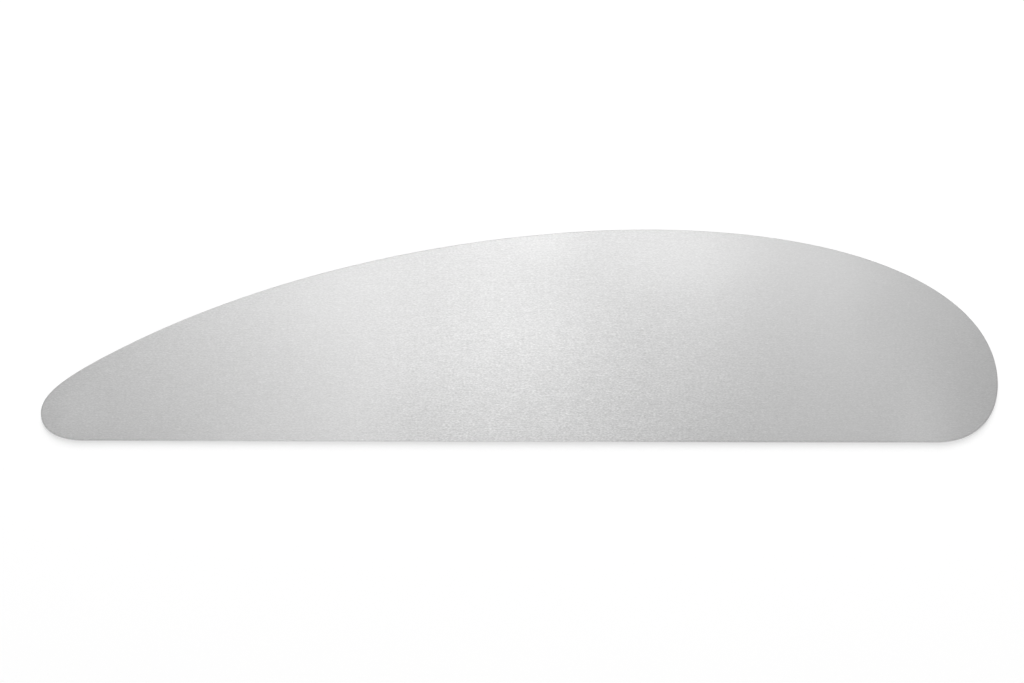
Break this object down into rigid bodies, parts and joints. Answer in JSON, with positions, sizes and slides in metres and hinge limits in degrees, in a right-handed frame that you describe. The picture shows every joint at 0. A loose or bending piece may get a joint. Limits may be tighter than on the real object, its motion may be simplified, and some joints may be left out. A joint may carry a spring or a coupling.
{
  "type": "pottery rib",
  "caption": "Long thin steel rib for pottery: straight lower edge, long arched back, narrow rounded nose and broad rounded heel.",
  "frame": {"origin": "middle of the blade's length and height, on the back face that it lies on", "axes": "+X along the blade from the narrow nose to the broad heel, +Y from the straight edge to the crown of the back, +Z through the sheet"},
  "size_m": [0.1906, 0.0444, 0.0005],
  "materials": {
    "steel": "fine brushed stainless steel, brushed along the length, rim tumbled smooth"
  },
  "bodies": {
    "root": {"rib_blade": "steel"}
  },
  "joints": []
}
